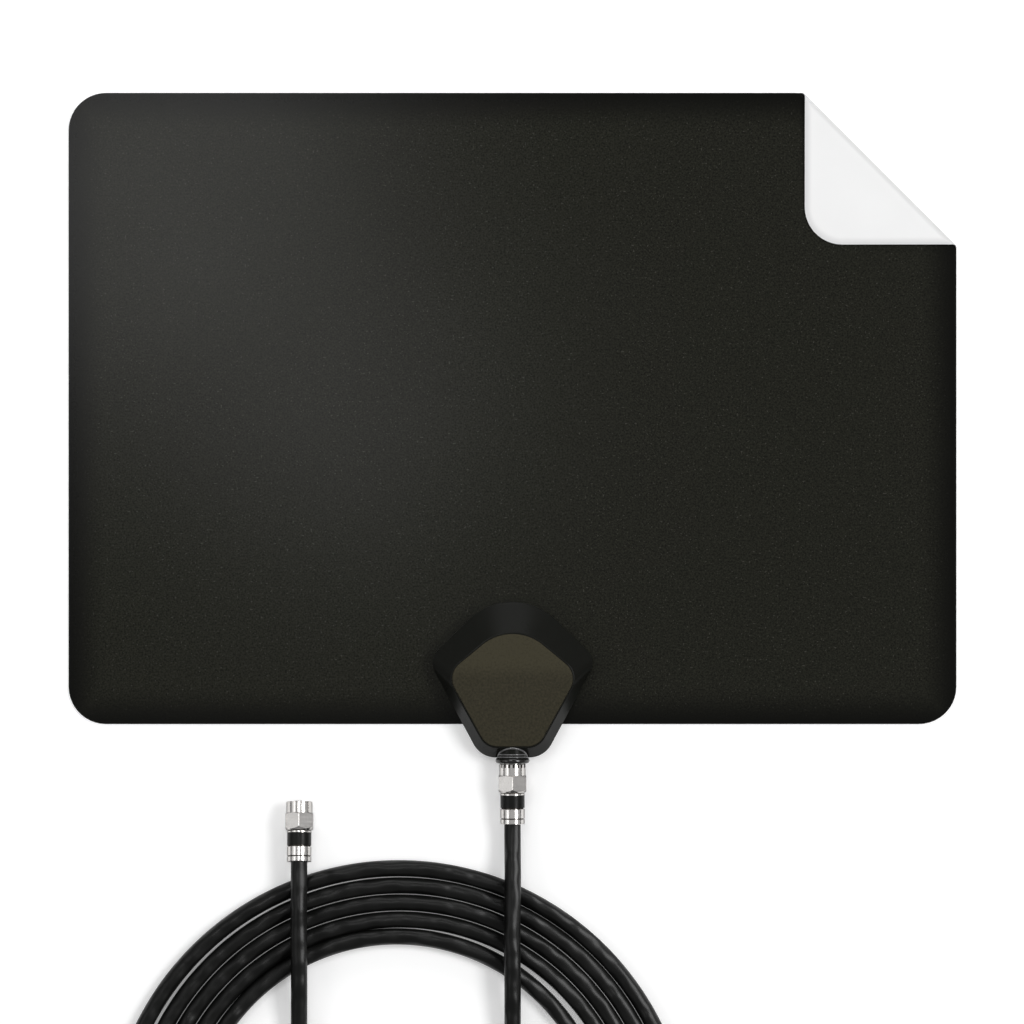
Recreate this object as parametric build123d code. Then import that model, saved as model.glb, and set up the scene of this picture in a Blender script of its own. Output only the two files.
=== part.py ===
from build123d import *
import math
import os

# Flat indoor tv antenna, lying on its white back film with one corner folded over its black front.
# Millimetres. X runs across the sheet, Y up the sheet, Z out of its front.
# The origin is the centre of the back film's outer face.

# Laminated sheet
sheet_width = 355.0
sheet_height = 252.4
corner_radius = 15.0
back_film_thickness = 0.25
front_film_thickness = 0.35

# Folded corner: how far the fold stands from the flattened corner, and how tight it is
fold_reach = 43.3
bend_inner_radius = 0.9
flap_tip_gap = 0.2
bend_cut_steps = 4
bend_cut_margin = 0.5

# Foil elements between the films
foil_thickness = 0.1
element_width = 118.0
element_height = 150.0
element_corner_radius = 12.0
element_gap = 4.0
element_centre_y = 10.0
tongue_width = 7.0

# Housing outline, as heights above its bottom edge and half widths
housing_overhang = 13.1
base_apex_height = 71.9
base_side_height = 39.1
base_side_half_width = 33.6
base_bottom_half_width = 12.7
base_apex_round = 25.0
base_side_round = 7.0
base_bottom_round = 10.0
crown_apex_height = 55.8
crown_side_height = 33.5
crown_bottom_height = 4.1
crown_side_half_width = 26.8
crown_bottom_half_width = 10.6
crown_apex_round = 19.5
crown_side_round = 8.2
crown_bottom_round = 8.0

# Housing walls and levels
pad_thickness = 0.2
pad_inset = 3.0
skirt_height = 6.0
bevel_height = 6.4
housing_wall = 2.0
crown_wall = 1.6
rear_cover_thickness = 1.5
rear_cover_clearance = 0.1
crown_edge_round = 0.4
face_plate_rim = 0.4
face_plate_gap = 0.15
face_plate_recess = 0.6
face_plate_proud = 0.2
face_plate_edge_round = 0.25

# Cover screws
screw_places = [(12.0, 9.0), (17.0, 36.0)]
screw_head_radius = 1.9
screw_head_height = 0.8
screw_shank_radius = 0.9
screw_length = 7.0
screw_clearance = 0.05
screw_pillar_radius = 2.2

# Circuit board, balun and feed contacts
board_width = 18.0
board_length = 28.0
board_thickness = 1.2
board_post_radius = 1.3
board_post_inset = 2.5
core_outer_radius = 4.6
core_inner_radius = 2.4
core_height = 3.0
core_from_board_end = 12.0
winding_thickness = 0.4
winding_arc = 260.0
feed_half_spacing = 5.5
feed_from_board_end = 20.0
contact_width = 3.0
contact_length = 4.0
contact_strip = 0.3
window_margin = 1.0
film_window_margin = 0.5

# Port: a boss on the front cover carries the threaded barrel
port_height = 7.2
boss_radius = 5.7
boss_length = 6.9
boss_projection = 0.1
collar_length = 2.2
collar_radius = 6.8
collar_round = 1.0
barrel_radius = 4.75
barrel_bore_radius = 3.7
barrel_clearance = 0.05
barrel_flange_width = 11.0
barrel_flange_height = 7.4
barrel_flange_thickness = 2.0
port_contact_radius = 1.0
port_contact_grip = 7.0
port_contact_tail = 2.5
solder_gap = 0.05

# Cable connector, by distance from the front of its nut
nut_gap = 0.2
nut_barrel_length = 4.6
nut_barrel_radius = 5.2
nut_length = 11.4
hex_across_flats = 11.0
hex_edge_round = 0.25
nut_front_chamfer = 0.6
nut_rear_chamfer = 1.5
nut_bore_radius = 4.85
nut_shoulder = 8.5
swivel_clearance = 0.06
swivel_end_play = 0.1
post_flange_radius = 4.5
post_flange_thickness = 0.8
post_neck_radius = 3.5
post_tube_radius = 2.9
post_length = 19.0
body_gap = 0.3
body_ring_radius = 4.9
body_ring_length = 0.7
body_radius = 4.35
body_tail_radius = 4.05
body_length = 20.0
band_start = 12.5
band_length = 5.0
band_radius = 4.85
sleeve_start = 17.9
connector_length = 24.0
sleeve_radius = 4.85
sleeve_groove_start = 21.6
sleeve_groove_width = 0.5
sleeve_groove_depth = 0.4
edge_break = 0.2
dielectric_radius = 2.3
conductor_radius = 0.51
conductor_proud = 0.4
conductor_taper = 0.1
seat_clearance = 0.02
cable_entry = 19.5

# Free connector: where the front of its nut lies, and how far its rear is tilted up onto the coil
tv_end = Vector(-85.0, -157.0, 6.05)
tv_tilt = 8.0

# Cable: routes chosen by hand from each connector to the coil
cable_diameter = 6.6
lead_straight = 13.5
tail_straight = 14.0
lead_route = [
    (0.2, -190.0, 11.3),
    (-0.2, -210.0, 12.0),
    (0.1, -231.0, 11.3),
    (0.0, -256.0, 5.4),
    (0.4, -282.0, 3.3),
    (-3.0, -311.0, 3.3),
    (-14.0, -338.0, 3.3),
    (-34.0, -361.0, 3.3),
    (-52.0, -377.0, 3.3),
]
tail_route = [
    (-85.2, -207.0, 11.6),
    (-84.9, -226.0, 11.1),
    (-85.2, -250.0, 5.2),
    (-85.6, -275.0, 3.3),
    (-88.5, -300.0, 3.3),
    (-95.0, -325.0, 5.6),
    (-104.0, -349.0, 11.6),
    (-106.5, -368.0, 12.2),
    (-100.0, -387.0, 11.8),
    (-85.5, -400.5, 7.6),
    (-67.5, -406.5, 3.8),
]
outer_turn_centre = (-45.4, -297.5)
outer_turn_radius = 113.8
inner_turn_centre = (-46.2, -294.2)
inner_turn_radius = 83.3
coil_edge_round = 1.2
bend_share = 0.45

# Levels and places worked out from the sizes above
sheet_thickness = back_film_thickness + front_film_thickness
foil_top = back_film_thickness + foil_thickness
housing_floor = sheet_thickness + pad_thickness
skirt_top = housing_floor + skirt_height
crown_top = skirt_top + bevel_height
rear_cover_top = housing_floor + rear_cover_thickness
sheet_bottom = -sheet_height / 2
housing_bottom = sheet_bottom - housing_overhang
nut_front = housing_bottom - boss_projection - collar_length - nut_gap
board_top = port_height - port_contact_radius - solder_gap
board_bottom = board_top - board_thickness
cable_radius = cable_diameter / 2

up = Vector(0, 0, 1)
collar_end = -nut_gap
boss_end = collar_end - collar_length
boss_start = boss_end - boss_length
flange_back = boss_start - barrel_flange_thickness
post_face = nut_shoulder - swivel_end_play - post_flange_thickness
body_start = nut_length + body_gap
board_end = nut_front - flange_back
board_start = board_end + board_length
feed_y = board_end + feed_from_board_end
core_y = board_end + core_from_board_end

# The antenna end of the cable points straight at the port; the free end is tilted
port_axis = Plane(origin=(0, nut_front, port_height), x_dir=(1, 0, 0), z_dir=(0, -1, 0))
tv_lean = math.radians(tv_tilt)
tv_axis = Plane(origin=tv_end, x_dir=(1, 0, 0), z_dir=(0, -math.cos(tv_lean), math.sin(tv_lean)))

# Fold: the sheet runs flat to bend_foot, turns round bend_centre and comes back over itself
bend_outer_radius = bend_inner_radius + sheet_thickness
bend_neutral_radius = bend_inner_radius + sheet_thickness / 2
bend_distance = fold_reach + bend_outer_radius
corner_cut = (math.sqrt(2) - 1) * corner_radius
flap_reach = bend_distance - corner_cut - math.pi * bend_neutral_radius
flap_slope = 2 * math.atan((bend_inner_radius - flap_tip_gap / 2) / flap_reach)
bend_turn = math.pi + flap_slope
bend_length = bend_turn * bend_neutral_radius
across_fold = Vector(1, 1, 0).normalized()
along_fold = Vector(-1, 1, 0).normalized()
bend_foot = Vector(sheet_width / 2, sheet_height / 2, 0) - across_fold * bend_distance
bend_centre = bend_foot + up * bend_outer_radius
flap_run = across_fold * -math.cos(flap_slope) - up * math.sin(flap_slope)
flap_rise = up * math.cos(flap_slope) - across_fold * math.sin(flap_slope)
flat_side = Plane(origin=bend_foot, x_dir=across_fold, z_dir=up)
flap_side = Plane(origin=bend_centre + flap_rise * bend_outer_radius, x_dir=flap_run, z_dir=flap_rise * -1)


def turned(*profile):
    """Solid of revolution about Z from (radius, height) points."""
    return revolve(Plane.XZ * make_face(Polyline(*profile, close=True)), Axis.Z)


def block(x_range, y_range, z_range):
    """Box between pairs of coordinates."""
    low = (x_range[0], y_range[0], z_range[0])
    size = [pair[1] - pair[0] for pair in (x_range, y_range, z_range)]
    return Pos(*low) * Box(*size, align=(Align.MIN, Align.MIN, Align.MIN))


def mirrored_pair(shape):
    """The shape and its mirror image across the middle of the sheet."""
    return shape + mirror(shape, Plane.YZ)


# Sheet


def bend_end(side):
    """Cutter that follows the sheet's slanting edge round the bend, at one end of the fold."""
    inner = bend_inner_radius * (1 - bend_cut_margin)
    outer = bend_outer_radius * (1 + bend_cut_margin)
    clear = bend_distance + bend_length
    sections = []
    for step in range(bend_cut_steps + 1):
        turn = bend_turn * step / bend_cut_steps
        edge = bend_distance - turn * bend_neutral_radius
        radial = across_fold * math.sin(turn) - up * math.cos(turn)
        corners = []
        for reach, place in ((inner, edge), (outer, edge), (outer, clear), (inner, clear)):
            corners.append(bend_centre + radial * reach + along_fold * (side * place))
        sections.append(make_face(Polyline(*corners, close=True)))
    return loft(sections, ruled=True)


def film(bottom, top):
    """One film between two heights of the flat sheet: its panel, its bend and its flap."""
    span = sheet_width + sheet_height
    outline = RectangleRounded(sheet_width, sheet_height, corner_radius)
    developed = Rot(0, 0, -45) * Pos(-bend_foot.X, -bend_foot.Y) * outline
    panel = developed & Pos(-span / 2, 0) * Rectangle(span, span)
    flap = Pos(-bend_length, 0) * developed & Pos(span / 2, 0) * Rectangle(span, span)
    flat = extrude(flat_side.offset(bottom) * panel, top - bottom, dir=up)
    folded = extrude(flap_side.offset(bottom) * flap, top - bottom, dir=flap_rise * -1)
    turn = math.degrees(bend_turn)
    outer = CenterArc((0, 0), bend_outer_radius - bottom, -90, turn)
    inner = CenterArc((0, 0), bend_outer_radius - top, -90, turn)
    sector = make_face([outer, Line(outer @ 1, inner @ 1), inner, Line(inner @ 0, outer @ 0)])
    start = bend_centre + along_fold * bend_distance
    bend_plane = Plane(origin=start, x_dir=across_fold, z_dir=along_fold * -1)
    bend = extrude(bend_plane * sector, 2 * bend_distance, dir=along_fold * -1)
    return flat + (bend - bend_end(1) - bend_end(-1)) + folded


def element(side):
    """Foil patch with a tongue that runs down to its feed contact."""
    patch = RectangleRounded(element_width, element_height, element_corner_radius)
    patch = Pos(side * (element_gap + element_width) / 2, element_centre_y) * patch
    tongue_end = feed_y - contact_length / 2 - window_margin
    tongue = Pos(side * (element_gap + tongue_width) / 2, (element_centre_y + tongue_end) / 2)
    tongue = tongue * Rectangle(tongue_width, element_centre_y - tongue_end)
    return extrude(Pos(0, 0, back_film_thickness) * (patch + tongue), foil_thickness)


def feed_window(bottom, top, margin):
    """Pair of openings for the feed contacts, between two heights."""
    half_x = contact_width / 2 + margin
    half_y = contact_length / 2 + margin
    x_range = (feed_half_spacing - half_x, feed_half_spacing + half_x)
    return mirrored_pair(block(x_range, (feed_y - half_y, feed_y + half_y), (bottom, top)))


# Housing


def pentagon(apex, side, bottom, rounds):
    """Rounded five-sided outline, symmetrical about X = 0, standing on the housing's bottom edge."""
    corners = [(0, apex), side, bottom, (-bottom[0], bottom[1]), (-side[0], side[1])]
    outline = make_face(Polyline(*corners, close=True))
    for corner, radius in zip(corners, (rounds[0], rounds[1], rounds[2], rounds[2], rounds[1])):
        nearest = outline.vertices().sort_by_distance((*corner, 0))[0]
        outline = fillet(nearest, radius)
    return Pos(0, housing_bottom) * outline


def base_outline():
    """Widest outline of the housing, at its skirt."""
    return pentagon(
        base_apex_height,
        (base_side_half_width, base_side_height),
        (base_bottom_half_width, 0),
        (base_apex_round, base_side_round, base_bottom_round),
    )


def crown_outline():
    """Outline of the flat top, inside the bevel."""
    return pentagon(
        crown_apex_height,
        (crown_side_half_width, crown_side_height),
        (crown_bottom_half_width, crown_bottom_height),
        (crown_apex_round, crown_side_round, crown_bottom_round),
    )


def screw_locations():
    """Places of the four cover screws on the housing floor."""
    places = []
    for x, height in screw_places:
        places.append(Pos(x, housing_bottom + height, housing_floor))
        places.append(Pos(-x, housing_bottom + height, housing_floor))
    return places


def port_boss(radius):
    """Round boss along the port's axis."""
    return port_axis * turned((0, boss_start), (radius, boss_start), (radius, boss_end), (0, boss_end))


def face_plate_pocket(gap, bottom, top):
    """Face plate shape, set in from the crown's edge by its rim and a gap."""
    outline = offset(crown_outline(), -face_plate_rim - gap)
    return extrude(Pos(0, 0, bottom) * outline, top - bottom)


def front_cover():
    """Bevelled shell with the port boss, screw pillars and a shallow recess for the face plate."""
    base = base_outline()
    crown = crown_outline()
    skirt = extrude(Pos(0, 0, housing_floor) * base, skirt_height)
    outside = skirt + loft([Pos(0, 0, skirt_top) * base, Pos(0, 0, crown_top) * crown], ruled=True)
    rim = outside.faces().sort_by(Axis.Z)[-1].edges()
    outside = fillet(rim, crown_edge_round)
    mouth = offset(base, -housing_wall)
    ceiling = offset(crown, -housing_wall)
    ceiling_level = crown_top - face_plate_recess - crown_wall
    hollow = extrude(Pos(0, 0, housing_floor) * mouth, skirt_height)
    hollow = hollow + loft([Pos(0, 0, skirt_top) * mouth, Pos(0, 0, ceiling_level) * ceiling], ruled=True)
    shell = outside - hollow + port_boss(boss_radius)
    pillar = turned(
        (0, rear_cover_thickness),
        (screw_pillar_radius, rear_cover_thickness),
        (screw_pillar_radius, crown_top),
        (0, crown_top),
    )
    hole_radius = screw_shank_radius + screw_clearance
    hole_end = screw_head_height + screw_length + screw_clearance
    hole = turned((0, 0), (hole_radius, 0), (hole_radius, hole_end), (0, hole_end))
    for place in screw_locations():
        shell = shell + (place * pillar & outside) - place * hole
    bore_radius = barrel_radius + barrel_clearance
    bore = turned((0, flange_back), (bore_radius, flange_back), (bore_radius, 0), (0, 0))
    shell = shell - port_axis * bore - port_axis * flange_plate(barrel_clearance)
    return shell - face_plate_pocket(0, crown_top - face_plate_recess, crown_top + face_plate_proud)


def face_plate():
    """Matte plate let into the top of the housing, slightly proud."""
    bottom = crown_top - face_plate_recess
    plate = face_plate_pocket(face_plate_gap, bottom, crown_top + face_plate_proud)
    return fillet(plate.faces().sort_by(Axis.Z)[-1].edges(), face_plate_edge_round)


def rear_cover():
    """Flat cover inside the skirt, with board posts, contact openings and sunk screw holes."""
    inset = housing_wall + rear_cover_clearance
    plate = extrude(Pos(0, 0, housing_floor) * offset(base_outline(), -inset), rear_cover_thickness)
    post = turned(
        (0, rear_cover_top),
        (board_post_radius, rear_cover_top),
        (board_post_radius, board_bottom),
        (0, board_bottom),
    )
    post_x = board_width / 2 - board_post_inset
    for post_y in (board_end + board_post_inset, board_start - board_post_inset):
        plate = plate + mirrored_pair(Pos(post_x, post_y) * post)
    head_radius = screw_head_radius + screw_clearance
    shank_radius = screw_shank_radius + screw_clearance
    sink = turned(
        (0, 0),
        (head_radius, 0),
        (head_radius, screw_head_height),
        (shank_radius, screw_head_height),
        (shank_radius, rear_cover_thickness),
        (0, rear_cover_thickness),
    )
    for place in screw_locations():
        plate = plate - place * sink
    plate = plate - feed_window(housing_floor, rear_cover_top, window_margin)
    return plate - port_boss(boss_radius + rear_cover_clearance)


def cover_screws():
    """Four pan-head screws, driven from behind."""
    end = screw_head_height + screw_length
    screw = turned(
        (0, 0),
        (screw_head_radius, 0),
        (screw_head_radius, screw_head_height),
        (screw_shank_radius, screw_head_height),
        (screw_shank_radius, end - screw_shank_radius),
        (0, end),
    )
    return Compound([place * screw.solid() for place in screw_locations()])


def adhesive_pad():
    """Thin pad between the sheet and the housing, only where the sheet is behind it."""
    outline = offset(base_outline(), -pad_inset)
    reach = base_apex_height
    on_sheet = Pos(0, sheet_bottom + pad_inset + reach / 2) * Rectangle(2 * reach, reach)
    pad = extrude(Pos(0, 0, sheet_thickness) * (outline & on_sheet), pad_thickness)
    return pad - feed_window(sheet_thickness, housing_floor, window_margin)


# Circuit board and what is on it


def circuit_board():
    """Board on the rear cover's posts, its end against the port's flange."""
    half = board_width / 2
    return block((-half, half), (board_end, board_start), (board_bottom, board_top))


def core_ring(wrap):
    """Ring section of the balun core, grown all round by a wrap thickness."""
    low = board_top + winding_thickness - wrap
    high = board_top + winding_thickness + core_height + wrap
    inner = core_inner_radius - wrap
    outer = core_outer_radius + wrap
    return make_face(Polyline((inner, low), (outer, low), (outer, high), (inner, high), close=True))


def balun_core():
    """Ferrite ring, lying flat in its winding."""
    return Pos(0, core_y) * revolve(Plane.XZ * core_ring(0), Axis.Z)


def balun_winding():
    """Wire layer round most of the ring."""
    section = core_ring(winding_thickness) - core_ring(0)
    return Pos(0, core_y) * revolve(Plane.XZ * section, Axis.Z, winding_arc)


def feed_contact(side):
    """Bent strip from the board's underside down onto the foil."""
    middle = side * feed_half_spacing
    x_range = (middle - contact_width / 2, middle + contact_width / 2)
    near = feed_y - contact_length / 2
    far = feed_y + contact_length / 2
    foot = block(x_range, (near, far), (foil_top, foil_top + contact_strip))
    leg = block(x_range, (near, near + contact_strip), (foil_top, board_bottom))
    head = block(x_range, (near, far), (board_bottom - contact_strip, board_bottom))
    return foot + leg + head


# Port


def port_collar():
    """Round black collar round the barrel, against the boss, with a full lip."""
    inner = barrel_radius + barrel_clearance
    corners = [(inner, boss_end), (collar_radius, boss_end), (collar_radius, collar_end), (inner, collar_end)]
    profile = make_face(Polyline(*corners, close=True))
    lip = profile.vertices().group_by(Axis.X)[-1]
    return port_axis * revolve(Plane.XZ * fillet(lip, collar_round), Axis.Z)


def flange_plate(gap):
    """Flange behind the boss that keeps the barrel from turning, grown on its edges by a gap."""
    size = (barrel_flange_width + 2 * gap, barrel_flange_height + 2 * gap, barrel_flange_thickness)
    return Pos(0, 0, (flange_back + boss_start) / 2) * Box(*size)


def port_barrel():
    """Plain-turned thread barrel with a flange plate seated behind the boss."""
    tube = turned((0, flange_back), (barrel_radius, flange_back), (barrel_radius, post_face), (0, post_face))
    bore_points = [(0, flange_back), (barrel_bore_radius, flange_back)]
    bore_points += [(barrel_bore_radius, post_face), (0, post_face)]
    return port_axis * (tube + flange_plate(0) - turned(*bore_points))


def port_insulator():
    """Plastic plug in the barrel's mouth that centres the contact."""
    radius = barrel_bore_radius - seat_clearance
    hole = port_contact_radius + seat_clearance
    entry = conductor_radius + barrel_clearance
    grip_end = post_face - solder_gap - port_contact_radius
    return port_axis * turned(
        (hole, collar_end),
        (radius, collar_end),
        (radius, post_face - solder_gap),
        (entry, post_face - solder_gap),
        (entry, grip_end),
        (hole, grip_end),
    )


def port_contact():
    """Socket for the cable's centre conductor, with a tail that lies on the board."""
    front = post_face - 2 * solder_gap - port_contact_radius
    back = flange_back - port_contact_tail
    grip = conductor_radius + seat_clearance
    return port_axis * turned(
        (0, back),
        (port_contact_radius, back),
        (port_contact_radius, front),
        (grip, front),
        (grip, front - port_contact_grip),
        (0, front - port_contact_grip),
    )


# Cable connector pieces, each about Z with the nut's front at zero


def nut():
    """Hex nut with a round front, chamfered corners, and a collar that turns on the post."""
    corner = hex_across_flats / math.sqrt(3) + edge_break
    flat = hex_across_flats / 2
    hexagon = RegularPolygon(flat, 6, major_radius=False, rotation=30)
    hexagon = fillet(hexagon.vertices(), hex_edge_round)
    hexagon = extrude(Pos(0, 0, nut_barrel_length) * hexagon, nut_length - nut_barrel_length)
    envelope = turned(
        (0, nut_barrel_length),
        (flat - edge_break, nut_barrel_length),
        (corner, nut_barrel_length + nut_front_chamfer),
        (corner, nut_length - nut_rear_chamfer),
        (corner - nut_rear_chamfer, nut_length),
        (0, nut_length),
    )
    barrel = turned(
        (0, 0),
        (nut_barrel_radius - edge_break, 0),
        (nut_barrel_radius, edge_break),
        (nut_barrel_radius, nut_barrel_length),
        (0, nut_barrel_length),
    )
    neck = post_neck_radius + swivel_clearance
    bore = turned(
        (0, 0),
        (nut_bore_radius, 0),
        (nut_bore_radius, nut_shoulder),
        (neck, nut_shoulder),
        (neck, nut_length),
        (0, nut_length),
    )
    return (hexagon & envelope) + barrel - bore


def post():
    """Flanged tube that grounds the shield and carries the nut."""
    bore = dielectric_radius + seat_clearance
    neck_end = body_start + body_ring_length
    flange_end = post_face + post_flange_thickness
    return turned(
        (bore, post_face),
        (post_flange_radius, post_face),
        (post_flange_radius, flange_end),
        (post_neck_radius, flange_end),
        (post_neck_radius, neck_end),
        (post_tube_radius, neck_end),
        (post_tube_radius, post_length),
        (bore, post_length),
    )


def body():
    """Connector body, pressed on the post's neck."""
    hold = post_neck_radius + seat_clearance
    ring_end = body_start + body_ring_length
    return turned(
        (hold, body_start),
        (body_ring_radius - edge_break, body_start),
        (body_ring_radius, body_start + edge_break),
        (body_ring_radius, ring_end),
        (body_radius, ring_end),
        (body_radius, sleeve_start),
        (body_tail_radius, sleeve_start),
        (body_tail_radius, body_length),
        (hold, body_length),
    )


def band():
    """Black ring round the body."""
    inner = body_radius + seat_clearance
    return turned(
        (inner, band_start),
        (band_radius, band_start),
        (band_radius, band_start + band_length),
        (inner, band_start + band_length),
    )


def sleeve():
    """Compression sleeve over the body's tail and the cable, with a groove near its end."""
    over_body = body_tail_radius + seat_clearance
    over_cable = cable_radius + seat_clearance
    step = body_length + seat_clearance
    floor = sleeve_radius - sleeve_groove_depth
    groove_end = sleeve_groove_start + sleeve_groove_width
    return turned(
        (over_body, sleeve_start),
        (sleeve_radius - edge_break, sleeve_start),
        (sleeve_radius, sleeve_start + edge_break),
        (sleeve_radius, sleeve_groove_start),
        (floor, sleeve_groove_start),
        (floor, groove_end),
        (sleeve_radius, groove_end),
        (sleeve_radius, connector_length - edge_break),
        (sleeve_radius - edge_break, connector_length),
        (over_cable, connector_length),
        (over_cable, step),
        (over_body, step),
    )


def dielectric():
    """White core of the cable, bared inside the connector."""
    return turned(
        (conductor_radius, post_face),
        (dielectric_radius, post_face),
        (dielectric_radius, cable_entry),
        (conductor_radius - conductor_taper, cable_entry),
    )


def conductor():
    """Centre conductor of the cable: a straight bare pin, its tip a little proud of the nut.

    It narrows slightly inside the dielectric, so its one straight wall is the length that a socket takes.
    """
    tip = conductor_radius / 2
    covered = conductor_radius - seat_clearance
    return turned(
        (0, -conductor_proud),
        (tip, -conductor_proud),
        (conductor_radius, tip - conductor_proud),
        (conductor_radius, post_face),
        (covered, post_face),
        (covered - conductor_taper, cable_entry),
        (0, cable_entry),
    )


# Cable


def bend_radii(route):
    """Largest fillet at each inner point of a route that its two runs leave room for."""
    radii = []
    for before, here, after in zip(route, route[1:], route[2:]):
        arriving = here - before
        leaving = after - here
        half_turn = math.radians(arriving.get_angle(leaving)) / 2
        radii.append(bend_share * min(arriving.length, leaving.length) / math.tan(half_turn))
    return radii


def cable_run(name, axis, straight, points):
    """Tube from inside a connector along a route of points."""
    exit_points = [axis.origin + axis.z_dir * cable_entry]
    exit_points.append(axis.origin + axis.z_dir * (cable_entry + straight))
    route = exit_points + [Vector(*point) for point in points]
    radii = bend_radii(route)
    path = FilletPolyline(*route, radius=radii)
    start = Plane(origin=path @ 0, z_dir=path % 0)
    tube = sweep(start * Circle(cable_radius), path=path)
    print(name, "length", round(path.length, 1), "bend radii", [round(radius) for radius in radii])
    return tube


def coil_well(bottom, top):
    """Round space inside the innermost turn, between two heights."""
    outline = Pos(*inner_turn_centre) * Circle(inner_turn_radius - cable_radius)
    return extrude(Pos(0, 0, bottom) * outline, top - bottom)


def cable_lead():
    """Run from the port into the coil, ending on the wall of the innermost turn."""
    tube = cable_run("lead", port_axis, lead_straight, lead_route)
    reach = outer_turn_radius
    low = -cable_diameter
    high = 2 * cable_diameter
    x_range = (inner_turn_centre[0] - reach, inner_turn_centre[0] + reach)
    lower_half = block(x_range, (inner_turn_centre[1] - reach, inner_turn_centre[1]), (low, high))
    return tube - (lower_half - coil_well(low, high))


def cable_coil(tail):
    """Flat ring that holds all the turns, notched where the tail rises out of the outermost one."""
    outline = Pos(*outer_turn_centre) * Circle(outer_turn_radius + cable_radius)
    disc = extrude(outline, cable_diameter)
    disc = fillet(disc.edges().filter_by(GeomType.CIRCLE), coil_edge_round)
    return disc - coil_well(0, cable_diameter) - tail


def connector(name, axis):
    """All pieces of one cable connector, placed along its axis."""
    pieces = {
        "nut": nut(),
        "post": post(),
        "body": body(),
        "band": band(),
        "sleeve": sleeve(),
        "dielectric": dielectric(),
        "conductor": conductor(),
    }
    return {f"{name}_{piece}": axis * shape for piece, shape in pieces.items()}


def antenna():
    """Every piece of the antenna by its node name."""
    left = element(-1)
    right = element(1)
    front = film(back_film_thickness, sheet_thickness) - left - right
    front = front - feed_window(foil_top, sheet_thickness, film_window_margin)
    tail = cable_run("tail", tv_axis, tail_straight, tail_route)
    pieces = {
        "back_film": film(0, back_film_thickness),
        "front_film": front,
        "left_element": left,
        "right_element": right,
        "adhesive_pad": adhesive_pad(),
        "rear_cover": rear_cover(),
        "front_cover": front_cover(),
        "face_plate": face_plate(),
        "cover_screws": cover_screws(),
        "circuit_board": circuit_board(),
        "balun_core": balun_core(),
        "balun_winding": balun_winding(),
        "left_feed_contact": feed_contact(-1),
        "right_feed_contact": feed_contact(1),
        "port_collar": port_collar(),
        "port_barrel": port_barrel(),
        "port_insulator": port_insulator(),
        "port_contact": port_contact(),
        "cable_lead": cable_lead(),
        "cable_coil": cable_coil(tail),
        "cable_tail": tail,
    }
    pieces.update(connector("antenna_end", port_axis))
    pieces.update(connector("tv_end", tv_axis))
    return pieces


os.makedirs("parts", exist_ok=True)
for node, shape in antenna().items():
    export_step(shape, f"parts/{node}.step")
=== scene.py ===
import math

import bpy
from bpy.props import FloatProperty, FloatVectorProperty, IntProperty, PointerProperty
from mathutils import Matrix, Vector


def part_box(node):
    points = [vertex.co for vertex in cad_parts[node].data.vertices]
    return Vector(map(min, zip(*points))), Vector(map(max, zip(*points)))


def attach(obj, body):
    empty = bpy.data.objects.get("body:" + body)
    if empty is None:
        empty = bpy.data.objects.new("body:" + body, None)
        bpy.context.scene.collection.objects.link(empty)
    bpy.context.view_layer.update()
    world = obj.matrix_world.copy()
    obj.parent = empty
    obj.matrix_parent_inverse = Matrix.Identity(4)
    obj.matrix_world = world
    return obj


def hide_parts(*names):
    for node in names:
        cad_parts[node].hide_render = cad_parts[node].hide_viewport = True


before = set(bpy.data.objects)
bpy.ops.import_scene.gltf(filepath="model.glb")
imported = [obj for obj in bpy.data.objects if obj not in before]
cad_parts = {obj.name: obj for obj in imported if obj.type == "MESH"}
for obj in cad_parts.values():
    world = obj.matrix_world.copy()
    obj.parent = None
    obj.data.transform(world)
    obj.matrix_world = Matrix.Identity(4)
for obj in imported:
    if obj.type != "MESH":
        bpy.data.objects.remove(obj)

bl_info = {
    "name": "Flat indoor tv antenna",
    "version": (1, 0, 0),
    "blender": (4, 5, 0),
    "location": "3D View > Sidebar > Antenna",
    "description": "Finishes the flat tv antenna, lays its cable and sets up the studio",
    "category": "Object",
}

# Lengths are in metres, angles in radians. X runs across the sheet, Y up it and Z off the floor.

# Front film: size of its pale flecks, the levels of a noise at which they start and are full,
# and the tone of the painted shade along its margin against the rest
FLECK_SIZE = 0.0008
FLECK_START = 0.73
FLECK_FULL = 0.83
MARGIN_SHADE_SHARE = 0.2

# Back film: height above which it belongs to the folded corner, and the tone of the painted shade on
# that flap's rim and crease
FLAP_ABOVE = 0.0004
FLAP_SHADE_SHARE = 0.8

# Face plate: base and share of the grain in its tone, how far below its tip the painted light
# starts and is full, and how much that painted light lifts the tone
PLATE_BASE = 0.2
PLATE_GRAIN_SHARE = 0.6
PAINTED_LIGHT_START = 0.019
PAINTED_LIGHT_FULL = 0.010
PAINTED_LIGHT_LIFT = 0.19

# Part of a noise pattern's range that is spread over a change of tone or gloss
NOISE_LOW = 0.3
NOISE_HIGH = 0.7

# How far a surface is turned from the eye where its gloss starts to fade and where it is dullest
DULL_START = 0.1
DULL_FULL = 0.6

# Stretch that turns a noise into rings about an axis along Y
RING_STRETCH = (40, 1, 40)

# Tint of plated metal's reflections at a low angle
METAL_EDGE_TINT = (0.12, 0.12, 0.12, 1)

# Metal nodes of a cable connector, the free one's tilt and the middle of each nut's front
CONNECTOR_METAL = ("nut", "post", "body", "sleeve")
FREE_TILT = math.radians(8.0)
FREE_NUT_FRONT = (-0.085, -0.157, 0.00605)
PORT_NUT_FRONT = (0.0, -0.1418, 0.0072)

# Connectors: start of the nodes' names, middle of the nut's front and turn of the axis about X
CONNECTORS = (
    ("antenna_end", PORT_NUT_FRONT, 0.0),
    ("tv_end", FREE_NUT_FRONT, -FREE_TILT),
)
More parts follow.
